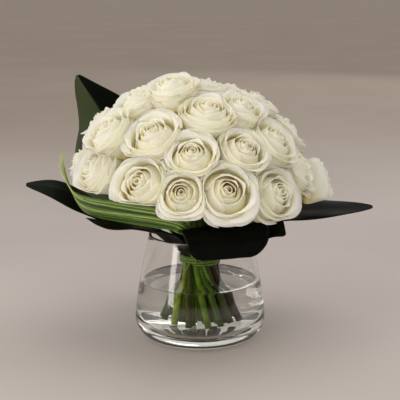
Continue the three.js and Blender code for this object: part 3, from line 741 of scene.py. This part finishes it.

# A cut stem is waxy: a soft gloss over a mottled green, which turns brown with age. The same dark brown end
# also serves as painted shade on the stems at the right.
green_stem, tree, out = finish_of("fresh_cut_rose_stem")
mottle = noise(tree, node(tree, "TexCoord").outputs["Object"], 160.0, 4.0)
colour = ramp(tree, times_plus(tree, mottle, 0.5, mark(tree, "tone")), [
    (0.0, "#33260A"), (0.22, "#3A3C0C"), (0.45, "#37520E"), (0.7, "#5F7C1A"), (0.95, "#A8B044")])
show(tree, skin(tree, colour, mottle, 0.3, 0.0005, {
    "Roughness": 0.42, "IOR": 1.4, "Subsurface Weight": 0.1, "Subsurface Scale": 0.001}), out)


def stem_places(rose, index):
    """The places that a stem passes: its foot, the waist, a bend, the hip and its seat under the bloom."""
    azimuth, share = rose["azimuth"], (90 - rose["elevation"]) / (90 - LOWEST_ROSE)
    foot_height = STEM_FOOT_HEIGHT + FOOT_STEP * (index % FOOT_LEVELS)
    foot = around(azimuth + FOOT_TWIST, FOOT_SPREAD * share, foot_height)
    waist = around(azimuth, TIED_RADIUS * share, WAIST_HEIGHT)
    knee = around(azimuth, TIED_RADIUS * share * STEM_BEND_SPREAD, WAIST_HEIGHT + STEM_BEND_RISE)
    hip = rose["base"] - rose["axis"] * (HIP_LENGTH + GAP)
    bend = 0.25 * waist + 0.5 * knee + 0.25 * hip
    return foot, waist, bend, hip, rose["base"] - rose["axis"] * GAP


def stem(rose, index):
    """A stem as a tube: straight to the waist, round the bend, then a hip that swells as a quarter sine."""
    foot, waist, bend, hip, seat = stem_places(rose, index)
    t = np.linspace(0, 1, SHAFT_ROWS)
    shaft = smooth_line([foot, foot + (waist - foot) * 0.8, waist, bend, hip], t)
    rise = np.linspace(0, 1, HIP_ROWS + 1)[1:, None]
    line = np.vstack([shaft, hip + (seat - hip) * rise])
    shaft_radius = STEM_RADIUS * np.interp(t, [0, 0.5, 0.7, 1], [1, 1, STEM_TAPER, STEM_TAPER])
    thin = STEM_RADIUS * STEM_TAPER
    swell = thin + (HIP_WIDTH * rose["size"] - thin) * np.sin(rise[:, 0] * np.pi / 2)
    return tube(line, np.concatenate([shaft_radius, swell]), STEM_SIDES)


stems = [stem(rose, index) for index, rose in enumerate(roses)]
points, faces = gathered(stems)
random = np.random.default_rng(7)
feet = np.array([stem_places(rose, index)[0] for index, rose in enumerate(roses)])
# Each stem's tone: a random freshness, less painted shade on the stems whose feet stand on the right.
fresh = random.uniform(0.0, FRESHEST, len(stems)) - RIGHT_SIDE_SHADE * smooth(feet[:, 0], RIGHT_SHADE_FROM, RIGHT_SHADE_TO)
tone = np.repeat(fresh, [len(part[0]) for part in stems])
make_piece("rose_stems_cut", points, faces, green_stem, ["rose_stems"], marks={"tone": tone})
print("stems:", len(stems), "with", len(points), "points")

# %% [markdown]
# The leaves are broad, leathery straps, nearly black-green and glossy, with veins that run side by side from
# stalk to tip, as in an aspidistra. Each is one sheet along a curved rib: half its width follows a sine up
# the blade, its two sides fold up or down from the rib, and its edges wave a little.

# %% Leaves
STALK = [(22.6, 93), (22.6, 102.5), (36, 117)]
STALK_LENGTH, STALK_HALF_WIDTH = 58, 2.6
# A leaf's azimuth is its stalk's, crease is how much its sides fold from the rib, wave is how high its edge
# waves, tip_side is the way its side points at the tip, and rib has stops of azimuth, radius and height.
LEAVES = {
    "left": dict(azimuth=-98, half_width=34, crease=-0.18, wave=2.5,
                 tip_side=(0, -0.94, -0.34), stalk_length=40,
                 rib=[(-98, 60, 134), (-97, 100, 148), (-93.5, 142, 169), (-91, 174, 182), (-90, 208, 187)]),
    "front_left": dict(azimuth=-46, half_width=26, crease=-0.08, wave=3,
                       tip_side=(0.4, -0.9, 0.05), stalk_length=16,
                       rib=[(-46, 60, 140), (-50, 92, 149), (-64, 118, 151), (-76, 136, 153)]),
    "front_folded": dict(azimuth=16.5, half_width=52, crease=-0.04, wave=2, blunt=True,
                         rib=[(16.5, 60, 134), (16.5, 82, 154), (16.5, 100, 159), (16.5, 114, 145),
                              (16.5, 107, 122)]),
    "front_right": dict(azimuth=62, half_width=22, crease=-0.06, wave=0, blunt=True,
                        tip_side=(0.05, 0.9, 0.42),
                        rib=[(62, 60, 132), (60, 84, 142), (61, 100, 148), (64.5, 109, 147)]),
    "right": dict(azimuth=107, half_width=33, crease=0.06, wave=2, tip_side=(0, 0.97, 0.25), stalk_length=46,
                  rib=[(105, 60, 134), (98, 105, 149), (93, 160, 155), (91, 208, 159)]),
    "back_right": dict(azimuth=140, half_width=34, crease=0.15, wave=4,
                       rib=[(140, 60, 134), (140, 105, 145), (140, 150, 158), (141, 186, 160)]),
    "back": dict(azimuth=-176, half_width=34, crease=0.15, wave=4,
                 rib=[(-176, 60, 134), (-176, 105, 146), (-175, 150, 158), (-174, 182, 168)]),
    "upright": dict(azimuth=-136, half_width=45, crease=-0.5, wave=1.5, tip_side=(-0.92, 0.26, -0.28),
                    rib=[(-136, 60, 134), (-137, 122, 150), (-138, 166, 176), (-136, 170, 238),
                         (-113, 163, 311)]),
}
# How pale a leaf's skin is on the two sides of its rib, from 0, black-green, to 1, grey-green. This is partly
# painted light: the upright leaf's pale half is a painted sheen on the side that faces the key light, and the
# folded front leaf is painted darkest for the shade it hangs in.
LEAF_TONE_AND_LIGHT = {"upright": (0.1, 0.75), "left": (0.2, 0.1), "right": (0.0, 0.0), "front_folded": (0.0, 0.0)}
OTHER_TONE = (0.1, 0.1)
LEAF_THICKNESS = 0.9
LEAF_ROWS, LEAF_COLUMNS = 72, 25
# The stalk's two bends get two ninths of the rows, and the blade the rest.
STALK_PARTS, LEAF_PARTS = 2, 9
RIB_SAMPLES = 400
WAVE_RATE, WAVE_SKEW = 11, 2
WAVE_FROM, WAVE_FULL = 0.4, 0.6
TWIST_FROM = 0.3
BLADE_FULLNESS = 0.8
# A blunt blade swells fast, narrows a little towards its tip, and has rounded corners at the end.
BLUNT_SWELL, BLUNT_RISE, BLUNT_NARROWING = 1.3, 1.4, 0.25
CORNER_SHARE, CORNER_DEPTH = 0.18, 0.3

# Thick and almost black, with a low gloss that the ridges between its veins pick up.
leaf_skin, tree, out = finish_of("glossy_strap_leaf")
place = node(tree, "TexCoord")
# Veins run the blade's length 1.5 to 2 mm apart, about 40 across a blade.
veins = streaks(tree, place, 40.0, 1.2, 3.0)
mixed = times_plus(tree, noise(tree, place.outputs["Object"], 22.0, 3.0), 0.3, veins)
lit = times_plus(tree, mixed, 0.4, mark(tree, "tone"))
colour = ramp(tree, lit, [(0.2, "#040504"), (0.4, "#0D120B"), (0.75, "#1E2817"), (1.0, "#48523A")])
show(tree, skin(tree, colour, veins, 0.5, 0.0006, {
    "Roughness": 0.42, "IOR": 1.38, "Specular IOR Level": 0.08}), out)


def blade_width(along, blunt):
    """Half the width of a blade up its length, as a share of its widest: sin(pi s^f)^f with the fullness f,
    or a swell that stays broad and ends in round corners."""
    along = np.clip(along, 0, 1)
    if blunt:
        swell = np.minimum(1, BLUNT_SWELL * np.sin(np.pi / 2 * np.minimum(1, along * BLUNT_RISE)))
        corner = np.clip((along - (1 - CORNER_SHARE)) / CORNER_SHARE, 0, 1)
        rounding = 1 - CORNER_DEPTH * (1 - np.sqrt(1 - corner ** 2))
        return swell * (1 - BLUNT_NARROWING * along ** 4) * rounding
    return np.abs(np.sin(np.pi * along ** BLADE_FULLNESS)) ** BLADE_FULLNESS


def leaf_sheet(azimuth, half_width, crease, wave, rib, tip_side=None, blunt=False, stalk_length=STALK_LENGTH):
    """A leaf: rib(t) + half u side + lift over, where side turns from the stalk's way to the tip's, and lift
    is width (crease half |u| + wave u^2 sin(rate s + skew u)) with s the share of the length."""
    places = np.vstack([around(azimuth, *stop) for stop in STALK] + [around(*stop) for stop in rib])
    fine = smooth_line(places, np.linspace(0, 1, RIB_SAMPLES))
    length = np.concatenate([[0], np.cumsum(np.linalg.norm(np.diff(fine, axis=0), axis=1))])
    bends = len(places) - 1
    row = np.linspace(0, LEAF_PARTS, LEAF_ROWS)
    past = np.maximum(row - STALK_PARTS, 0) / (LEAF_PARTS - STALK_PARTS)
    t = (np.minimum(row, STALK_PARTS) + past * (bends - STALK_PARTS)) / bends
    centre = smooth_line(places, t)
    ahead = unit(smooth_line(places, t + 1e-3) - smooth_line(places, t - 1e-3))
    share = np.interp(t, np.linspace(0, 1, RIB_SAMPLES), length / length[-1])
    start = around(azimuth + 90, 1, 0)
    end = start if tip_side is None else np.array(tip_side)
    twist = smooth(share, TWIST_FROM, 1)[:, None]
    side = start * (1 - twist) + end * twist
    side = unit(side - ahead * np.sum(side * ahead, -1, keepdims=True))
    over = unit(np.cross(ahead, side))
    stalk = stalk_length / length[-1]
    width = blade_width((share - stalk) / (1 - stalk), blunt)[:, None]
    width[share < stalk] = 0
    half = STALK_HALF_WIDTH + (half_width - STALK_HALF_WIDTH) * width
    u = np.linspace(-1, 1, LEAF_COLUMNS)
    ripple = wave * u * u * np.sin(WAVE_RATE * share[:, None] + WAVE_SKEW * u)
    ripple = ripple * smooth(share, WAVE_FROM, WAVE_FULL)[:, None]
    lift = width * (crease * half * np.abs(u) + ripple)
    sheet = centre[:, None] + side[:, None] * (half * u)[..., None] + over[:, None] * lift[..., None]
    return sheet[None], np.broadcast_to(u, lift.shape), np.broadcast_to(share[:, None], lift.shape)


for name, leaf in LEAVES.items():
    sheet, across, along = leaf_sheet(**leaf)
    points, faces = shells(sheet, LEAF_THICKNESS)
    uv = np.column_stack([np.tile(across.ravel(), 2) * 0.5 + 0.5, np.tile(along.ravel(), 2)])
    one, other = LEAF_TONE_AND_LIGHT.get(name, OTHER_TONE)
    tone = one + (other - one) * smooth(uv[:, 0], 0.47, 0.53)
    make_piece(f"blade_{name}", points, faces, leaf_skin, [f"leaf_{name}"], uv, {"tone": tone})
print("leaves:", len(LEAVES), "with", 2 * len(faces), "triangles each")

# %% [markdown]
# The grass is a sheaf of long, narrow blades that come out of the tie together, sweep round the left of the
# dome as a band and turn up at the end. Each blade is folded a little along its middle, and they lie over
# each other like shingles, with slightly different greens and lengths.

# %% Grass
BAND_PITCH = 4.6
BAND_LEAN = np.radians(14)
BLADE_STACK = 1.1
BLADE_STOPS = [
    # azimuth, radius, height, and how much of its full width the fan has there
    (-12, 25.4, 102.1, 0.0), (-12, 40, 117, 0.02), (-12, 58, 133, 0.05), (-9, 84, 152, 0.5),
    (-12, 102, 163, 0.85), (-25, 111, 169, 1), (-40, 118, 171, 1), (-54, 125, 171, 1), (-68, 135, 170, 1),
    (-78, 146, 173, 0.95), (-84, 154, 184, 0.75), (-92, 165, 204, 0.4), (-97, 169, 226, 0.1),
]
GRASS_BLADES = 13
GRASS_WIDTH = 4.4
GRASS_THICKNESS = 0.5
GRASS_ROWS, GRASS_COLUMNS = 90, 7
# Blades lie up to this many pitches from the band's middle.
FAN_HALF = 2.5
LENGTH_STRAY = 0.14
# A blade strays this far sideways in the band, and this far round the bunch where it is still tight, in mm.
STRAY, TIGHT = 1.2, 2.4
TIGHT_FROM, TIGHT_TO = 0.1, 0.3
TIP_SHARE, TIP_WIDTH = 0.25, 0.04
FOLD = 0.22
# What a blade's edges, as painted light and shade, and its tip, paler towards its end, add to its tone,
# which is at most the palest here.
PALEST, EDGE_LIGHT, EDGE_SHADE, TIP_LIGHT = 0.4, 0.4, 0.25, 0.6
TIP_LIGHT_FROM, TIP_LIGHT_TO = 0.68, 0.9
# Each blade gets its own part of the streaks, which repeat along it.
UV_STEP, STREAKS_ALONG = 1.37, 8

# Grass is satin, with pale and dark streaks that run along the blade.
fresh_grass, tree, out = finish_of("fresh_grass_blade")
streak = streaks(tree, node(tree, "TexCoord"), 9.0, 3.0, 3.0)
colour = ramp(tree, times_plus(tree, streak, 0.5, mark(tree, "tone")), [
    (0.1, "#15220A"), (0.35, "#35521A"), (0.6, "#6F9032"), (0.9, "#D3DC9C")])
show(tree, skin(tree, colour, streak, 0.5, 0.0004, {"Roughness": 0.4, "IOR": 1.42}), out)


def grass_sheets(random):
    """Blades beside each other: spine + place pitch fan side + place stack outward, each with its own stray,
    and narrowing to its tip. Also gives each row's share of the spine."""
    stops = np.array(BLADE_STOPS, float)
    place = np.linspace(-FAN_HALF, FAN_HALF, GRASS_BLADES)
    reach = 1 - LENGTH_STRAY * random.random(GRASS_BLADES)
    t = np.linspace(0, 1, GRASS_ROWS) * reach[:, None]
    spine = smooth_line(around(*stops[:, :3].T), t.ravel()).reshape(GRASS_BLADES, GRASS_ROWS, 3)
    ahead = unit(np.gradient(spine, axis=1))
    knots = np.linspace(0, 1, len(stops))
    azimuth, fan = np.interp(t, knots, stops[:, 0]), np.interp(t, knots, stops[:, 3])
    side = around(azimuth, np.sin(BAND_LEAN), np.cos(BAND_LEAN))
    side = unit(side - ahead * np.sum(side * ahead, -1, keepdims=True))
    outward = np.cross(side, ahead)
    stray = STRAY * np.sin(np.pi * (2.2 * t + 2 * random.random((GRASS_BLADES, 1))))
    bunch = 2 * np.pi * random.random((GRASS_BLADES, 1))
    loose = smooth(t, TIGHT_FROM, TIGHT_TO)
    tight = TIGHT * (1 - loose)
    sideways = place[:, None] * BAND_PITCH * fan + stray * fan + tight * np.cos(bunch)
    outwards = place[:, None] * BLADE_STACK * loose + tight * np.sin(bunch)
    shift = sideways[..., None] * side + outwards[..., None] * outward
    taper = np.clip((1 - t / reach[:, None]) / TIP_SHARE, TIP_WIDTH, 1) ** 0.6
    half = GRASS_WIDTH / 2 * taper * (0.75 + 0.25 * smooth(t, 0.1, 0.35))
    u = np.linspace(-1, 1, GRASS_COLUMNS)
    across = (half[..., None] * u)[..., None] * side[:, :, None]
    fold = (-FOLD * half[..., None] * np.abs(u))[..., None] * outward[:, :, None]
    return (spine + shift)[:, :, None] + across + fold, t


random = np.random.default_rng(11)
sheets, t = grass_sheets(random)
points, faces = shells(sheets, GRASS_THICKNESS)
across = np.tile(np.linspace(0, 1, GRASS_COLUMNS), 2 * GRASS_BLADES * GRASS_ROWS)
along = np.repeat(np.stack([t, t], 1).reshape(-1), GRASS_COLUMNS)
blade_number = np.repeat(np.arange(GRASS_BLADES), 2 * GRASS_ROWS * GRASS_COLUMNS)
# The edge that lies over the next blade catches the light; the other one is in the shade of the blade above.
edges = EDGE_LIGHT * smooth(1 - 2 * across, 0.55, 0.95) - EDGE_SHADE * smooth(2 * across - 1, 0.0, 0.9)
tip = TIP_LIGHT * smooth(along, TIP_LIGHT_FROM, TIP_LIGHT_TO)
tone = random.uniform(0.0, PALEST, GRASS_BLADES)[blade_number] + edges + tip
uv = np.column_stack([across + blade_number * UV_STEP, along * STREAKS_ALONG])
make_piece("grass_blades", points, faces, fresh_grass, ["grass_sheaf"], uv, {"tone": tone})
print("grass:", GRASS_BLADES, "blades")

# %% [markdown]
# Below the rim the bunch is tied with a blade of grass, wound three times round the stems, knotted in front,
# with two ends that hang down towards the water. The winding is one flat strip along a helix.

# %% Tie
TIE_RADIUS = 24.3
TIE_LEVEL = 97
TIE_TURNS = 3
TIE_STRIP, TIE_PITCH = 2.5, 2.9
TIE_THICKNESS = 0.9
TIE_COLUMNS = 5
TIE_FRONT = -12
TURN_ROWS = 48
# The winding isn't quite round: it wavers by this many millimetres, this many times a turn.
WAVER, WAVER_RATE = 0.25, 2.3
TAIL_ROWS = 24
TAIL_WIDTH = 3.2
TAIL_TIP_SHARE, TAIL_TIP_WIDTH = 0.4, 0.3
TAIL_LEAN = (0.8, 0.6)
TIE_TAILS = [
    # azimuth, radius and height of each stop
    [(-28, 24.8, 97), (-34, 29, 88), (-40, 33, 76)],
    [(6, 24.8, 96), (14, 31, 84), (24, 36, 71)],
]
KNOT_ROWS = 20
KNOT_HALF_HEIGHT = 5
KNOT_WIDTH, KNOT_PINCH = 4.2, 1.4
KNOT_BULGE, KNOT_SLANT = 1.2, 3


def strip(line, across, width):
    """A flat strip: each point of the line gets a row of points across it, as wide as it is there."""
    row = np.linspace(-0.5, 0.5, TIE_COLUMNS)[:, None] * np.reshape(width, (-1, 1, 1))
    return (line[:, None] + np.reshape(across, (-1, 1, 3)) * row)[None]


def tie_winding():
    """The turns round the stems: a helix whose strip stands upright."""
    turns = np.linspace(0, 360 * TIE_TURNS, TURN_ROWS * TIE_TURNS)
    level = TIE_LEVEL + TIE_PITCH * TIE_TURNS * (turns / turns[-1] - 0.5)
    waver = WAVER * np.sin(np.radians(turns * WAVER_RATE))
    line = around(turns + TIE_FRONT, TIE_RADIUS + waver, level)
    return strip(line, (0, 0, 1), TIE_STRIP)


def tie_tail(stops):
    """A loose end: a strip along a smooth line that leans outward and narrows over its last share."""
    t = np.linspace(0, 1, TAIL_ROWS)
    line = smooth_line(around(*np.array(stops, float).T), t)
    across = unit(around(np.linspace(stops[0][0], stops[-1][0], TAIL_ROWS) + 90, *TAIL_LEAN))
    return strip(line, across, TAIL_WIDTH * np.clip((1 - t) / TAIL_TIP_SHARE, TAIL_TIP_WIDTH, 1))


def tie_knot():
    """The knot: a short upright strip over the turns, which bulges out and is pinched in its middle."""
    t = np.linspace(0, 1, KNOT_ROWS)
    bulge = np.sin(np.pi * t)
    level = TIE_LEVEL - KNOT_HALF_HEIGHT + 2 * KNOT_HALF_HEIGHT * t
    line = around(TIE_FRONT + KNOT_SLANT * t, TIE_RADIUS + KNOT_BULGE * bulge, level)
    return strip(line, around(TIE_FRONT + 90, 1, 0), KNOT_WIDTH - KNOT_PINCH * bulge)


sheets = [tie_winding(), *(tie_tail(stops) for stops in TIE_TAILS), tie_knot()]
closed = [shells(sheet, TIE_THICKNESS) for sheet in sheets]
points, faces = gathered([(part_points, part_faces.tolist()) for part_points, part_faces in closed])
# Painted light and shade: the tone swings with height about once a winding's pitch, so each turn has a pale
# band and a dark band.
tone = 0.25 + 0.2 * np.sin(points[:, 2] * 2.1)
uv = np.column_stack([points[:, 2] / 4, points[:, 0] / 20])
make_piece("grass_tie", points, faces, fresh_grass, ["tie"], uv, {"tone": tone})
print("tie:", TIE_TURNS, "turns")
